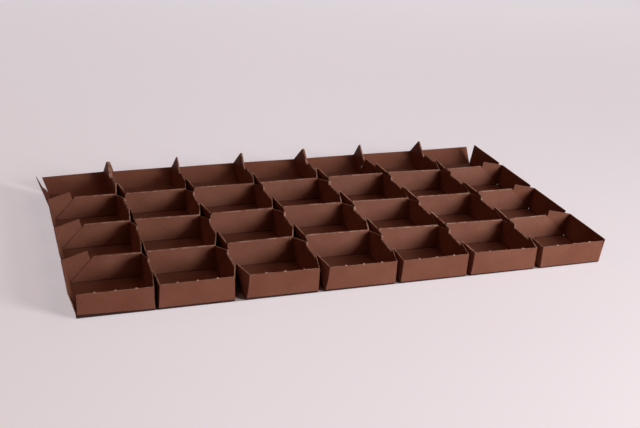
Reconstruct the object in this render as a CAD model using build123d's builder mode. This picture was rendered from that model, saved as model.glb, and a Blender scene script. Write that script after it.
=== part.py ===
from build123d import *
import os
from math import atan2, cos, degrees, radians, sin, sqrt, tan

# Praline insert tray: one die-cut sheet of thin card, creased and folded up into
# four rows of seven open cells. Millimetres, Z up, X along the rows, Y to the back.
# The origin lies under the middle of the whole tray.

# The sheet and its creases
card = 0.35
crease_radius = 0.45
fold_opening = 0.60
corner_relief = 0.30
overlap = 1.40

# The cells and the ridges between them, measured on the flat sheet
cell_width = 32.0
cell_depth = 32.9
row_count = 4
row_gap = 4.5
row_sheet = 11.9
column_gaps = (2.7, 5.6, 4.9, 3.9, 2.9, 3.8)
column_sheet = 11.2
gusset_drop = 0.40

# The outer walls: height up the slope, and how far each leans out of the upright
wall_height = 11.9
front_lean = 6.6
back_lean = 51.0
left_lean = 14.9
right_lean = 11.1
back_flare_left = 2.2
back_flare_right = 1.6

# Cut ends of the row ridges, and the flaps that the side walls tuck into them
ridge_end_run = 11.0
flap_length = 11.9
flap_seat = 0.55
flap_turn = 7.0

# Nicks that held the sheet in its frame until it was broken out
nick_width = 0.9
nick_height = 0.4
nick_shares = (0.23, 0.50, 0.77)

cut_overrun = 5.0

# Places worked out from the sizes above
column_count = len(column_gaps) + 1
middle = card / 2
half_fold = fold_opening / 2
left_reach = wall_height * sin(radians(left_lean)) + middle * cos(radians(left_lean))
right_reach = wall_height * sin(radians(right_lean)) + middle * cos(radians(right_lean))
front_top = wall_height + nick_height
front_reach = front_top * sin(radians(front_lean)) + middle * cos(radians(front_lean))
back_reach = wall_height * sin(radians(back_lean)) + middle * cos(radians(back_lean))
floor_run = column_count * cell_width + sum(column_gaps)
floor_span = row_count * cell_depth + (row_count - 1) * row_gap
first_left = (left_reach - right_reach - floor_run) / 2
first_front = (front_reach - back_reach - floor_span) / 2
left_edges = [first_left + i * cell_width + sum(column_gaps[:i]) for i in range(column_count)]
right_edges = [edge + cell_width for edge in left_edges]
front_edges = [first_front + j * (cell_depth + row_gap) for j in range(row_count)]
back_edges = [edge + cell_depth for edge in front_edges]


def fold_rise(sheet, gap):
    """Height of a folded ridge of two equal sheets over the gap between their feet."""
    return sqrt((sheet - half_fold) ** 2 - (gap / 2 - half_fold) ** 2)


row_rise = fold_rise(row_sheet, row_gap)
row_lean = degrees(atan2(row_gap / 2 - half_fold, row_rise))

# A column ridge and the gusset that stands over its end are cut on one slope, which
# halves the corner between the floor and the gusset's sheet, as a mitre does
mitre_lean = (90 - row_lean) / 2
mitre_rise = column_sheet + cut_overrun
mitre_run = mitre_rise * tan(radians(mitre_lean))


def fold_points(foot, gap, rise):
    """The four corners of a fold seen end on: foot, the two sides of its top, foot."""
    middle_line = foot + gap / 2
    return [
        (foot, 0),
        (middle_line - half_fold, rise),
        (middle_line + half_fold, rise),
        (foot + gap, 0),
    ]


def draw_strip(points, folds):
    """The card seen edge on through the points, with the outside of these folds rounded."""
    with BuildLine() as profile:
        Polyline(*points)
    trace(profile.line, line_width=card)
    corners = ShapeList()
    for before, bend, after in zip(points, points[1:], points[2:]):
        if bend in folds:
            chord_middle = ((before[0] + after[0]) / 2, (before[1] + after[1]) / 2)
            corners += vertices().sort_by_distance(bend)[:2].sort_by_distance(chord_middle)[-1:]
    fillet(corners, radius=crease_radius)


def rounded_folds(line):
    """The tops of a strip's ridges and the feet of its two outer walls."""
    return [point for point in line[1:-1] if point[1] > 0] + [line[1], line[-2]]


def wall_top(foot, lean, outward):
    """The free edge of an outer wall seen end on."""
    return (
        foot + outward * wall_height * sin(radians(lean)),
        wall_height * cos(radians(lean)),
    )


# One column of cells as a folded strip: front wall, floors, row ridges and back wall
column_line = [wall_top(front_edges[0], front_lean, -1), (front_edges[0], 0)]
for back_edge in back_edges[:-1]:
    column_line += fold_points(back_edge, row_gap, row_rise)
column_line += [(back_edges[-1], 0), wall_top(back_edges[-1], back_lean, 1)]

with BuildPart() as column_strip:
    with BuildSketch(Plane.YZ):
        draw_strip(column_line, rounded_folds(column_line))
    extrude(amount=cell_width - 2 * corner_relief)

# One row of cells as a folded strip: side walls, floors and column ridges
row_line = [wall_top(left_edges[0], left_lean, -1), (left_edges[0], 0)]
for right_edge, gap in zip(right_edges, column_gaps):
    row_line += fold_points(right_edge, gap, fold_rise(column_sheet, gap))
row_line += [(right_edges[-1], 0), wall_top(right_edges[-1], right_lean, 1)]

# The ends of its ridges are mitred, so that the gussets can stand there
mitre_foot = cell_depth / 2 - corner_relief
with BuildPart() as row_strip:
    with BuildSketch(Plane.XZ.offset(-mitre_foot)):
        draw_strip(row_line, rounded_folds(row_line))
    extrude(amount=2 * mitre_foot)
    with BuildSketch(Plane.YZ.offset(right_edges[0] - overlap)):
        with BuildLine():
            Polyline(
                (mitre_foot, middle),
                (mitre_foot - mitre_run, mitre_rise + middle),
                (mitre_foot + cut_overrun, mitre_rise + middle),
                (mitre_foot + cut_overrun, middle),
                close=True,
            )
        make_face()
        mirror(about=Plane.YZ)
    extrude(amount=left_edges[-1] - right_edges[0] + 2 * overlap, mode=Mode.SUBTRACT)


def gusset_row(foot, lean, height):
    """The gussets along one upright sheet that leans by lean degrees to the back.

    Each is a pair of half gussets, hinged on the sheets' ends and creased between
    them, so it is drawn looking along the slope of the sheet and extruded up it.
    Its lower end is mitred to stand over the end of the column ridge.
    """
    slope = Plane(
        origin=(0, foot, middle),
        x_dir=(1, 0, 0),
        z_dir=(0, sin(radians(lean)), cos(radians(lean))),
    )
    facing = -1 if lean > 0 else 1
    with BuildPart() as gussets:
        with BuildSketch(slope.offset(corner_relief)):
            for right_edge, gap in zip(right_edges, column_gaps):
                corners = fold_points(right_edge, gap, facing * fold_rise(column_sheet, gap))
                hinge_left = (right_edge - overlap, 0)
                hinge_right = (right_edge + gap + overlap, 0)
                draw_strip([hinge_left, *corners, hinge_right], corners[1:3])
        extrude(amount=height - corner_relief)
        with BuildSketch(Plane.YZ.offset(right_edges[0] - 2 * overlap)):
            with BuildLine():
                Polyline(
                    (foot, middle),
                    (foot + facing * mitre_run, mitre_rise + middle),
                    (foot + facing * (mitre_run + cut_overrun), mitre_rise + middle),
                    (foot + facing * (mitre_run + cut_overrun), -cut_overrun),
                    (foot, -cut_overrun),
                    close=True,
                )
            make_face()
        extrude(amount=left_edges[-1] - right_edges[0] + 4 * overlap, mode=Mode.SUBTRACT)
    return gussets.part


row_slope = row_sheet - half_fold - gusset_drop
gusset_rows = [gusset_row(front_edges[0], -front_lean, wall_height)]
for back_edge, front_edge in zip(back_edges[:-1], front_edges[1:]):
    gusset_rows.append(gusset_row(back_edge, row_lean, row_slope))
    gusset_rows.append(gusset_row(front_edge, -row_lean, row_slope))
gusset_rows.append(gusset_row(back_edges[-1], back_lean, wall_height))


def side_wall(foot, lean, outward, front_edge, back_edge, flap):
    """One side wall, seen down its slope, with the flap behind its back end if it has one."""
    slope = Plane(
        origin=(foot, 0, middle),
        x_dir=(0, 1, 0),
        z_dir=(outward * sin(radians(lean)), 0, cos(radians(lean))),
    )
    wall_start = (front_edge + corner_relief, 0)
    wall_end = (back_edge, 0)
    hinge = (back_edge + flap_seat, 0)
    flap_end = (
        back_edge + flap_seat + flap_length * sin(radians(flap_turn)),
        outward * flap_length * cos(radians(flap_turn)),
    )
    with BuildPart() as wall:
        with BuildSketch(slope.offset(corner_relief)):
            if flap:
                draw_strip([wall_start, hinge, flap_end], [hinge])
            else:
                with Locations(((wall_start[0] + wall_end[0]) / 2, 0)):
                    Rectangle(wall_end[0] - wall_start[0], card)
        extrude(amount=wall_height - corner_relief)
    return wall.part


side_walls = []
for row, (front_edge, back_edge) in enumerate(zip(front_edges, back_edges)):
    flap = row < row_count - 1
    side_walls.append(side_wall(left_edges[0], left_lean, -1, front_edge, back_edge, flap))
    side_walls.append(side_wall(right_edges[-1], right_lean, 1, front_edge, back_edge, flap))


def wall_face(foot, lean, outward):
    """The plane of the front or back wall: X along its foot, Y up its slope."""
    return Plane(
        origin=(0, foot, middle),
        x_dir=(1, 0, 0),
        z_dir=(0, -cos(radians(lean)), outward * sin(radians(lean))),
    )


front_face = wall_face(front_edges[0], front_lean, -1)
back_face = wall_face(back_edges[-1], back_lean, 1)


def wall_end(face, edge, side, flare):
    """The outer end of the front or back wall, wider at the top by the flare."""
    with BuildPart() as end:
        with BuildSketch(face):
            with BuildLine():
                Polyline(
                    (edge, corner_relief),
                    (edge + side * flare, wall_height),
                    (edge - side * overlap, wall_height),
                    (edge - side * overlap, corner_relief),
                    close=True,
                )
            make_face()
        extrude(amount=middle, both=True)
    return end.part


wall_ends = [
    wall_end(front_face, left_edges[0], -1, 0),
    wall_end(front_face, right_edges[-1], 1, 0),
    wall_end(back_face, left_edges[0], -1, back_flare_left),
    wall_end(back_face, right_edges[-1], 1, back_flare_right),
]

# The stubs of the nicks along the front walls' top edge
nick_places = []
for left_edge in left_edges:
    nick_places += [(left_edge + share * cell_width, wall_height) for share in nick_shares]

with BuildPart() as nicks:
    with BuildSketch(front_face):
        with Locations(*nick_places):
            Rectangle(nick_width, 2 * nick_height)
    extrude(amount=middle, both=True)

with BuildPart() as insert_tray:
    with Locations(*[(edge + corner_relief, 0, middle) for edge in left_edges]):
        add(column_strip.part)
    add(gusset_rows)

    # The row ridges' outer ends are cut off at a slope from the floor's corner up
    with BuildSketch(Plane.XZ.offset(-(back_edges[-1] - corner_relief))):
        with BuildLine():
            Polyline(
                (left_edges[0], card),
                (left_edges[0] + ridge_end_run, row_rise + card),
                (left_edges[0] + ridge_end_run, row_rise + cut_overrun),
                (left_edges[0] - cut_overrun, row_rise + cut_overrun),
                (left_edges[0] - cut_overrun, card),
                close=True,
            )
        make_face()
        with BuildLine():
            Polyline(
                (right_edges[-1], card),
                (right_edges[-1] - ridge_end_run, row_rise + card),
                (right_edges[-1] - ridge_end_run, row_rise + cut_overrun),
                (right_edges[-1] + cut_overrun, row_rise + cut_overrun),
                (right_edges[-1] + cut_overrun, card),
                close=True,
            )
        make_face()
    extrude(amount=floor_span - 2 * corner_relief, mode=Mode.SUBTRACT)

    with Locations(*[(0, edge + cell_depth / 2, middle) for edge in front_edges]):
        add(row_strip.part)
    add(side_walls)
    add(wall_ends)
    add(nicks.part)

insert_tray.part.label = "insert_tray"
os.makedirs("parts", exist_ok=True)
export_step(insert_tray.part, "parts/insert_tray.step")
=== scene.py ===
from math import cos, radians, sin

import bmesh
import bpy
from mathutils import Matrix, Vector, noise


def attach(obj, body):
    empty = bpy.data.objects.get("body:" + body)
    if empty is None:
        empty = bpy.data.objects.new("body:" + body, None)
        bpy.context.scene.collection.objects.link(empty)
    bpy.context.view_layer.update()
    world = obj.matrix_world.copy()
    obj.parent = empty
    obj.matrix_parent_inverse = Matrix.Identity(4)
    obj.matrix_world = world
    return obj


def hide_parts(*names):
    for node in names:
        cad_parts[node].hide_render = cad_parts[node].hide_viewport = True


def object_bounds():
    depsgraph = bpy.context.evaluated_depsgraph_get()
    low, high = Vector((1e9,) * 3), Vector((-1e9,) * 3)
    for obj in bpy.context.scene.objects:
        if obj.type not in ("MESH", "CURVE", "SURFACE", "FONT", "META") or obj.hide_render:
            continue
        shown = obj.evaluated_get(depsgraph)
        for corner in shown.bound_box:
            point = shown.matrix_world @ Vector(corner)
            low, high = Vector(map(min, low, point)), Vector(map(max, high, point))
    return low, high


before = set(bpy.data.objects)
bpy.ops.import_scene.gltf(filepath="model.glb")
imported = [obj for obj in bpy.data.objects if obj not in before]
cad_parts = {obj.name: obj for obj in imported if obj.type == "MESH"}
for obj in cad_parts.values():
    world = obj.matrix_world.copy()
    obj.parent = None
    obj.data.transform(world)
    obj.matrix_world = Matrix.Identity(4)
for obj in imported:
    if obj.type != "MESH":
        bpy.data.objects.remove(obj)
cad_low, cad_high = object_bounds()
scene = bpy.context.scene

# The camera stands at the front left, about half a metre off, and looks down on the
# tray at 22 degrees with a portrait lens, turned to the right and a little off level.
camera_place = Vector((-0.1534, -0.4714, 0.2078))
camera_turn = radians(18.76)
camera_drop = radians(22.16)
camera_roll = radians(2.39)

camera_data = bpy.data.cameras.new("camera")
camera_data.lens = 58.82
camera_data.sensor_width = 36.0
camera_data.clip_start = 0.01
camera_data.clip_end = 20.0
camera = bpy.data.objects.new("camera", camera_data)
camera_aim = (
    Matrix.Rotation(-camera_turn, 4, "Z")
    @ Matrix.Rotation(radians(90) - camera_drop, 4, "X")
    @ Matrix.Rotation(camera_roll, 4, "Z")
)
camera.matrix_world = Matrix.Translation(camera_place) @ camera_aim
scene.collection.objects.link(camera)
scene.camera = camera

# Studio light: one soft lamp low at the front right, four weak ones around the tray and
# a dim room, so that the cells' floors and right-hand corners fall into deep shade.
scene.view_settings.view_transform = "Standard"


def soft_lamp(name, turn, rise, distance, size, power, colour):
    """A lamp turned from straight in front to the right, and raised, in degrees."""
    lamp_data = bpy.data.lights.new(name, "AREA")
    lamp_data.shape = "DISK"
    lamp_data.size = size
    lamp_data.energy = power
    lamp_data.color = colour
    lamp = bpy.data.objects.new(name, lamp_data)
    aim = Vector(
        (
            sin(radians(turn)) * cos(radians(rise)),
            -cos(radians(turn)) * cos(radians(rise)),
            sin(radians(rise)),
        )
    )
    lamp.location = aim * distance
    lamp.rotation_euler = aim.to_track_quat("Z", "Y").to_euler()
    scene.collection.objects.link(lamp)


soft_lamp("lamp_front", 37, 17.5, 0.72, 0.28, 5.05, (1.0, 1.0, 1.0))
soft_lamp("lamp_top", 60, 60, 1.0, 0.5, 1.0, (1.0, 0.80, 0.72))
soft_lamp("lamp_left", -110, 40, 1.0, 0.5, 0.8, (1.0, 0.48, 0.30))
soft_lamp("lamp_low", -40, 30, 1.0, 0.5, 0.5, (1.0, 0.50, 0.35))
soft_lamp("lamp_back", 140, 35, 1.0, 0.5, 0.5, (1.0, 0.90, 0.88))

room = bpy.data.worlds.new("room")
room.use_nodes = True
room_light = room.node_tree.nodes["Background"]
room_light.inputs["Color"].default_value = (0.9, 0.5, 0.4, 1)
room_light.inputs["Strength"].default_value = 0.01
scene.world = room

# The backdrop is a wide sheet of pale pinkish-grey paper. It glows a little where it is
# seen or mirrored, so that it is as pale as in the studio, and lights nothing.
bpy.ops.object.select_all(action="DESELECT")
bpy.ops.mesh.primitive_plane_add(size=6.0, location=(0, 0, 0))
backdrop = bpy.context.object
backdrop.name = "backdrop"
paper = bpy.data.materials.new("backdrop_paper")
paper.use_nodes = True
paper_tree = paper.node_tree
paper_shader = paper_tree.nodes["Principled BSDF"]
paper_shader.inputs["Base Color"].default_value = (0.61, 0.56, 0.58, 1)
paper_shader.inputs["Roughness"].default_value = 0.9
paper_shader.inputs["Specular IOR Level"].default_value = 0.1
paper_shader.inputs["Emission Color"].default_value = (1.0, 0.945, 1.0, 1)
paper_place = paper_tree.nodes.new("ShaderNodeTexCoord")
paper_axes = paper_tree.nodes.new("ShaderNodeSeparateXYZ")
paper_tree.links.new(paper_place.outputs["Object"], paper_axes.inputs[0])


def combined(tree, operation, first, second=0.0):
    """One sum in a material, over two numbers or sockets."""
    step = tree.nodes.new("ShaderNodeMath")
    step.operation = operation
    for value, socket in ((first, step.inputs[0]), (second, step.inputs[1])):
        if isinstance(value, float):
            socket.default_value = value
        else:
            tree.links.new(value, socket)
    return step.outputs["Value"]


def along_paper(turn, start, end, low, high):
    """A level that runs from low to high between two places along one line."""
    across = combined(paper_tree, "MULTIPLY", paper_axes.outputs["X"], cos(turn))
    along = combined(paper_tree, "MULTIPLY", paper_axes.outputs["Y"], sin(turn))
    level = paper_tree.nodes.new("ShaderNodeMapRange")
    level.inputs["From Min"].default_value = start
    level.inputs["From Max"].default_value = end
    level.inputs["To Min"].default_value = low
    level.inputs["To Max"].default_value = high
    place = combined(paper_tree, "ADD", across, along)
    paper_tree.links.new(place, level.inputs["Value"])
    return level.outputs["Result"]


# The glow falls off to the right, where the lamp is, and grows towards the back
glow_left, glow_right, glow_far = 0.43, 0.34, 0.59
near_glow = along_paper(-camera_turn, -0.02, 0.22, glow_left, glow_right)
far_share = along_paper(radians(90) - camera_turn, -0.10, 0.60, 0.0, 1.0)
far_gain = combined(paper_tree, "SUBTRACT", glow_far, near_glow)
far_glow = combined(paper_tree, "MULTIPLY", far_share, far_gain)
glow = combined(paper_tree, "ADD", near_glow, far_glow)

# The paper under the tray doesn't glow, or it would shine through the cells' corners
feet_middle_x, feet_half_x, feet_half_y = 0.0003, 0.1242, 0.0761
off_middle_x = combined(paper_tree, "SUBTRACT", paper_axes.outputs["X"], feet_middle_x)
off_x = combined(paper_tree, "ABSOLUTE", off_middle_x)
off_y = combined(paper_tree, "ABSOLUTE", paper_axes.outputs["Y"])
off_feet = combined(
    paper_tree,
    "MAXIMUM",
    combined(paper_tree, "DIVIDE", off_x, feet_half_x),
    combined(paper_tree, "DIVIDE", off_y, feet_half_y),
)
open_paper = combined(paper_tree, "GREATER_THAN", off_feet, 1.0)

light_path = paper_tree.nodes.new("ShaderNodeLightPath")
seen = light_path.outputs["Is Camera Ray"]
for ray in ("Is Glossy Ray", "Is Transmission Ray"):
    seen = combined(paper_tree, "MAXIMUM", seen, light_path.outputs[ray])
seen_open_paper = combined(paper_tree, "MULTIPLY", seen, open_paper)
seen_glow = combined(paper_tree, "MULTIPLY", glow, seen_open_paper)
paper_tree.links.new(seen_glow, paper_shader.inputs["Emission Strength"])
backdrop.data.materials.append(paper)

# The tray is one die-cut, creased sheet of thin card, folded by hand and held by its
# folds alone. It is the CAD solid with a hand-made piece's small faults: the sheets at
# the crossings stand a little off their places, walls bow, and the floors spring up.
cad_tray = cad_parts["insert_tray"]
tray = cad_tray.copy()
tray.data = cad_tray.data.copy()
tray.name = "tray_card"
scene.collection.objects.link(tray)
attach(tray, "root")
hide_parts("insert_tray")

merge_distance = 0.000001
flat_enough = radians(0.3)
sheet = bmesh.new()
sheet.from_mesh(tray.data)
bmesh.ops.remove_doubles(sheet, verts=sheet.verts, dist=merge_distance)
bmesh.ops.dissolve_limit(
    sheet, angle_limit=flat_enough, verts=sheet.verts, edges=sheet.edges
)

# The card's cut edges are the faces about as wide as the card is thick, and its rounded
# folds are the narrower ones
fold_width, cut_edge_width = 0.00012, 0.0005
rim_layer = sheet.faces.layers.float.new("rim")
fold_layer = sheet.faces.layers.float.new("fold")
for face in sheet.faces:
    face_width = 2 * face.calc_area() / max(face.calc_perimeter(), merge_distance)
    face[rim_layer] = 1.0 if fold_width < face_width < cut_edge_width else 0.0
    face[fold_layer] = 1.0 if face_width <= fold_width else 0.0

# Cuts every few millimetres let the flat card bend, with more of them near the feet
cut_step = 0.0055
foot_band_rise = 0.0008
nick_foot = 0.01203
front_foot_back, front_foot_front = -0.0740, -0.0755
cuts = [(1, front_foot_back), (1, front_foot_front), (2, nick_foot)]
cuts += [(2, rise) for rise in (foot_band_rise, 2 * foot_band_rise, 4 * foot_band_rise)]
for axis in range(3):
    low, high = cad_low[axis], cad_high[axis]
    part_count = max(2, round((high - low) / cut_step))
    for part in range(1, part_count):
        cuts.append((axis, low + (high - low) * part / part_count))
for axis, place in cuts:
    plane_place, plane_normal = Vector(), Vector()
    plane_place[axis], plane_normal[axis] = place, 1.0
    bmesh.ops.bisect_plane(
        sheet,
        geom=sheet.verts[:] + sheet.edges[:] + sheet.faces[:],
        dist=merge_distance / 2,
        plane_co=plane_place,
        plane_no=plane_normal,
    )
bmesh.ops.triangulate(sheet, faces=sheet.faces)

# Painted shade: the walls' feet are painted dark where shade falls. It is darkest at the
# front wall's foot, for the shadow under its lifted edge. The torn nicks along the front
# wall's top are pale
floor_top = 0.00034
front_foot_y, front_top_y = -0.0760, -0.0770
front_painted_shade, foot_painted_shade, nick_paleness = 1.0, 0.65, 4.0
painted_shade_layer = sheet.faces.layers.float.new("painted_foot_shade")
for face in sheet.faces:
    middle = face.calc_center_median()
    upright = abs(face.normal.z) < 0.5
    face[painted_shade_layer] = 0.0
    if middle.z < foot_band_rise and middle.y < front_foot_y:
        face[painted_shade_layer] = front_painted_shade
    elif floor_top < middle.z < foot_band_rise and upright:
        face[painted_shade_layer] = foot_painted_shade
    if middle.y < front_top_y and middle.z > nick_foot:
        face[rim_layer] = nick_paleness

# How far the fold lines stand from their regular places, in millimetres: sideways, and
# up. The lines are the front wall's foot and top, the three row ridges and the back
# wall's top. Each lists its left end, the left sheet, crease and right sheet of its six
# gaps, and its right end.
side_shifts = (
    (
        -0.1, (0.3, 0.0, -0.8), (0.3, 0.0, -0.1), (0.5, 0.0, -1.0),
        (0.3, 0.0, -0.8), (-0.4, 0.0, -0.6), (0.1, 0.0, 0.1), -0.4,
    ),
    (
        -0.1, (-0.2, -0.1, -0.3), (-0.2, 0.2, 1.0), (0.5, -0.3, 0.5),
        (0.3, 0.2, -0.3), (-0.3, -0.7, 0.2), (0.1, 0.1, -0.2), -0.2,
    ),
    (
        0.0, (0.4, 0.5, -0.2), (-0.7, -0.2, -0.6), (-1.1, 0.3, 0.1),
        (0.1, 1.1, 1.0), (0.7, -0.2, 1.8), (0.6, -0.5, 0.5), 0.0,
    ),
    (
        0.0, (0.8, 1.5, 0.1), (0.1, -0.1, 0.2), (-0.5, 0.0, -0.1),
        (-0.8, -0.1, 0.8), (0.4, -0.2, 1.6), (0.6, -0.4, 1.3), 0.0,
    ),
    (
        0.0, (-1.1, 0.3, 1.2), (0.4, -0.7, -0.6), (-0.3, -0.5, -1.9),
        (-1.9, -0.9, 0.3), (0.0, -1.3, 0.3), (-0.2, -0.6, 0.0), 0.0,
    ),
    (
        -0.6, (-1.9, -1.7, 0.6), (1.0, 0.0, -0.2), (-1.0, -0.7, -0.3),
        (-1.8, -0.4, -0.2), (-1.0, -1.9, -0.9), (0.3, 0.7, 0.4), 0.1,
    ),
)
up_shifts = (
    (
        -0.2, (-0.5, -0.5, -0.5), (-0.5, -0.5, -0.5), (-0.5, -0.5, -0.5),
        (-0.5, -0.5, -0.5), (-0.4, -0.4, -0.4), (-0.2, -0.2, -0.2), 0.2,
    ),
    (
        -0.6, (-0.6, -0.1, -0.1), (0.1, -0.3, 0.3), (0.0, 0.6, 0.0),
        (-0.5, -0.1, -0.5), (-0.3, -0.2, 0.1), (-0.5, -0.5, -0.4), 0.0,
    ),
    (
        0.0, (-0.5, 0.1, -0.2), (-0.3, 0.5, 0.0), (0.4, 0.5, 0.5),
        (0.3, 0.3, 0.3), (-0.5, 0.4, -0.1), (-0.5, 0.4, -0.5), 0.0,
    ),
    (
        0.0, (-0.1, 0.2, 0.3), (-0.3, 0.0, 0.0), (0.1, 0.6, 0.4),
        (0.1, 0.6, 0.2), (-0.5, 0.4, -0.2), (-0.4, 0.4, 0.1), 0.0,
    ),
    (
        0.0, (-0.5, -0.2, -0.5), (-0.4, 0.3, -0.1), (-0.5, 0.1, -0.3),
        (0.0, 0.5, 0.1), (0.0, 0.5, 0.3), (-0.5, 0.5, -0.3), 0.0,
    ),
    (
        -0.7, (0.0, -0.5, -0.3), (-0.2, -0.3, -0.5), (-0.4, -0.6, -0.4),
        (-0.6, -0.6, -0.6), (-0.4, -0.4, -0.4), (-0.4, -0.6, -0.4), -0.1,
    ),
)
gap_ends = (
    (-0.091517, -0.088817), (-0.056817, -0.051217), (-0.019217, -0.014317),
    (0.017683, 0.021583), (0.053583, 0.056483), (0.088483, 0.092283),
)

# Where the front wall, the row ridges and the back wall stand, and how high they are.
# The front wall has moved as far as its top does from five eighths of its height up.
line_places = (-0.076435, -0.041285, -0.003885, 0.033515, 0.068665)
line_heights = (0.0118, 0.0115, 0.0115, 0.0115, 0.0077)
line_leads = (1.6, 1.0, 1.0, 1.0, 1.0)
front_height, ridge_height = line_heights[:2]


def share(value, start, end):
    """How far a value has come from start to end, from 0 to 1."""
    return min(1.0, max(0.0, (value - start) / (end - start)))


def knots(shifts, part=1.0):
    """A part of a fold line's shifts, in metres, at places along X."""
    places = [(cad_low.x, shifts[0])]
    for (start, end), (left, crease, right) in zip(gap_ends, shifts[1:-1]):
        places += [(start, left), ((start + end) / 2, crease), (end, right)]
    places.append((cad_high.x, shifts[-1]))
    return [(place, shift * part / 1000) for place, shift in places]


def between(places, x):
    """The shift at x, on straight runs from knot to knot."""
    for (start, first), (end, last) in zip(places, places[1:]):
        if x <= end:
            return first + (last - first) * share(x, start, end)
    return places[-1][1]


def foot_and_top(shifts, foot_part):
    """The knots of the feet and the tops; a ridge's feet move by a part of its top."""
    feet = [knots(shifts[0])] + [knots(line, foot_part) for line in shifts[2:]]
    return feet, [knots(line) for line in shifts[1:]]


side_knots = foot_and_top(side_shifts, foot_part=0.25)
up_knots = foot_and_top(up_shifts, foot_part=0.0)


def line_shift(line, x, z):
    """How far a fold line's sheet has moved at this height, sideways and up."""
    rise = share(z * line_leads[line], 0.0, line_heights[line])
    return Vector(
        (1 - rise) * between(feet[line], x) + rise * between(tops[line], x)
        for feet, tops in (side_knots, up_knots)
    )


half_width, half_depth = 0.125, 0.077


def spring(x, y):
    """How high the floors stand off the table: half a millimetre, less at the sides."""
    across, along = x / half_width, y / half_depth
    millimetres = 0.516 - 0.081 * across - 0.071 * along
    millimetres += 0.166 * across * along - 0.359 * across**2
    return millimetres / 1000


def front_bow(x, y):
    """How far the tray is pushed back, most in the middle of its front."""
    across, along = x / half_width, y / half_depth
    return 0.00027 * (1 - across**2) * ((1 - along) / 2) ** 2


# The front wall's rounded foot is 1.2 times as high at the right end as in the regular
# tray and 1.7 times at the left, where its last 3 cm rise to 2.7 times, and it bulges
foot_growth, growth_to_left = 1.45, 2.0
left_end_start, left_end_run = -0.095, 0.03
foot_bulge = 0.0004


def front_foot(x, y, z):
    """How high a point of the front wall stands, and how far its foot bulges there."""
    at_front = share(y, front_foot_back, front_foot_front)
    growth = foot_growth - growth_to_left * x
    growth += max(0.0, (left_end_start - x) / left_end_run)
    growth = 1 + at_front * (growth - 1)
    if z < foot_band_rise:
        swell = z / foot_band_rise
        raised = z * growth
    else:
        swell = share(z, front_height, foot_band_rise)
        raised = z + foot_band_rise * (growth - 1) * swell
    return raised, foot_bulge * growth**0.5 * swell * at_front


# The back wall of the left side leans out further, and most at its back end
lean_front, lean_back = 0.0345, 0.0690
least_lean, most_lean = 0.0009, 0.0026
wall_foot_x, wall_out_x = -0.1239, -0.1247
lean_at_foot = 0.3


def side_lean(x, y, rise):
    """How much further out the back wall of the left side leans at this point."""
    if not lean_front < y < lean_back:
        return 0.0
    lean = least_lean + (most_lean - least_lean) * share(y, lean_front, lean_back)
    wall_share = share(x, wall_foot_x, wall_out_x)
    return lean * wall_share * (lean_at_foot + (1 - lean_at_foot) * rise)


bow_sideways, bow_lengthways = 0.00016, 0.00030


def settled(point):
    """Where a point of the regular tray stands in the one that was folded by hand."""
    x, y, z = point
    rise = share(z, 0.0, ridge_height)
    line = max(i for i, place in enumerate(line_places) if i == 0 or y >= place)
    shift = line_shift(line, x, z)
    if line < len(line_places) - 1:
        gone = share(y, line_places[line], line_places[line + 1])
        shift += gone * (line_shift(line + 1, x, z) - shift)
    bow_x = noise.noise(Vector((x * 40, y * 40, 3.0))) * bow_sideways * rise
    bow_y = noise.noise(Vector((x * 45, y * 25, 7.0))) * bow_lengthways * rise
    raised, bulge = front_foot(x, y, z)
    return Vector(
        (
            x + shift.x + bow_x - side_lean(x, y, rise),
            y + bow_y + front_bow(x, y) - bulge,
            raised + shift.y + spring(x, y),
        )
    )


for corner in sheet.verts:
    corner.co = settled(corner.co)
lowest = min(corner.co.z for corner in sheet.verts)
for corner in sheet.verts:
    corner.co.z -= lowest
sharp_from = radians(30)
for edge in sheet.edges:
    edge.smooth = len(edge.link_faces) == 2 and edge.calc_face_angle(0.0) < sharp_from
for face in sheet.faces:
    face.smooth = True
sheet.to_mesh(tray.data)
sheet.free()

# Dark brown dyed card: faintly mottled, with a short fibre and stray pale flecks, paler
# where it was cut or folded over, and with painted shade, nearly black, at the walls' feet
card = bpy.data.materials.new("brown_card")
card.use_nodes = True
card_tree = card.node_tree
card_shader = card_tree.nodes["Principled BSDF"]
card_shader.inputs["Roughness"].default_value = 0.62
card_shader.inputs["Specular IOR Level"].default_value = 0.2
card_place = card_tree.nodes.new("ShaderNodeTexCoord")


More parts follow.
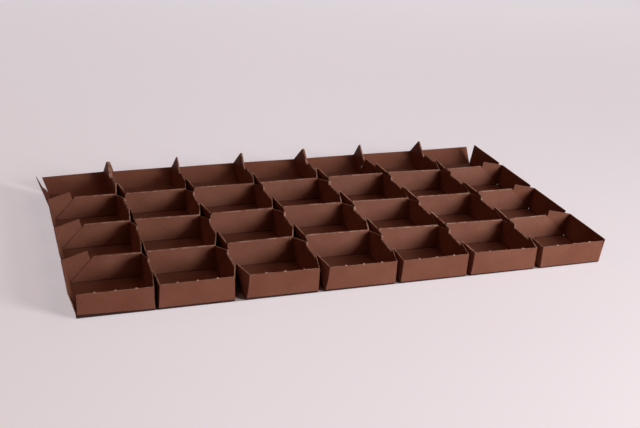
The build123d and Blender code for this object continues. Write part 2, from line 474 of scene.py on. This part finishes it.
def grain(scale, detail, low, high):
    """Noise at this many waves a metre, spread from 0 to 1 between two levels."""
    wave = card_tree.nodes.new("ShaderNodeTexNoise")
    wave.inputs["Scale"].default_value = scale
    wave.inputs["Detail"].default_value = detail
    card_tree.links.new(card_place.outputs["Object"], wave.inputs["Vector"])
    spread = card_tree.nodes.new("ShaderNodeMapRange")
    spread.inputs["From Min"].default_value = low
    spread.inputs["From Max"].default_value = high
    card_tree.links.new(wave.outputs["Fac"], spread.inputs["Value"])
    return spread.outputs["Result"]


def tinted(under, colour, amount, strength):
    """The colour laid over another, by an amount that a number or a pattern weakens."""
    mix = card_tree.nodes.new("ShaderNodeMix")
    mix.data_type = "RGBA"
    weakened = combined(card_tree, "MULTIPLY", amount, strength)
    card_tree.links.new(weakened, mix.inputs["Factor"])
    if isinstance(under, tuple):
        mix.inputs["A"].default_value = under
    else:
        card_tree.links.new(under, mix.inputs["A"])
    mix.inputs["B"].default_value = colour
    return mix.outputs["Result"]


def attribute(name):
    """A level that was set on the tray's faces."""
    layer = card_tree.nodes.new("ShaderNodeAttribute")
    layer.attribute_name = name
    return layer.outputs["Fac"]


dyed_brown = (0.165, 0.055, 0.032, 1)
mottle_brown = (0.200, 0.074, 0.045, 1)
fibre_brown = (0.245, 0.100, 0.068, 1)
fleck_grey = (0.46, 0.33, 0.28, 1)
fold_brown = (0.36, 0.21, 0.16, 1)
cut_brown = (0.45, 0.27, 0.20, 1)
painted_shade_black = (0.020, 0.004, 0.002, 1)

tone = tinted(dyed_brown, mottle_brown, grain(60, 3, 0.35, 0.65), 1.0)
tone = tinted(tone, fibre_brown, grain(1100, 4, 0.45, 0.75), 0.3)
tone = tinted(tone, fleck_grey, grain(2600, 1, 0.78, 0.82), 0.7)
tone = tinted(tone, fold_brown, attribute("fold"), grain(380, 3, 0.40, 0.66))
tone = tinted(tone, cut_brown, attribute("rim"), grain(300, 3, 0.34, 0.58))
# Painted shade: the walls' feet are painted nearly black where shade falls
tone = tinted(tone, painted_shade_black, attribute("painted_foot_shade"), 0.92)
card_tree.links.new(tone, card_shader.inputs["Base Color"])
fibre = card_tree.nodes.new("ShaderNodeBump")
fibre.inputs["Strength"].default_value = 0.35
fibre.inputs["Distance"].default_value = 0.00006
card_tree.links.new(grain(1500, 4, 0.3, 0.7), fibre.inputs["Height"])
card_tree.links.new(fibre.outputs["Normal"], card_shader.inputs["Normal"])
tray.data.materials.clear()
tray.data.materials.append(card)
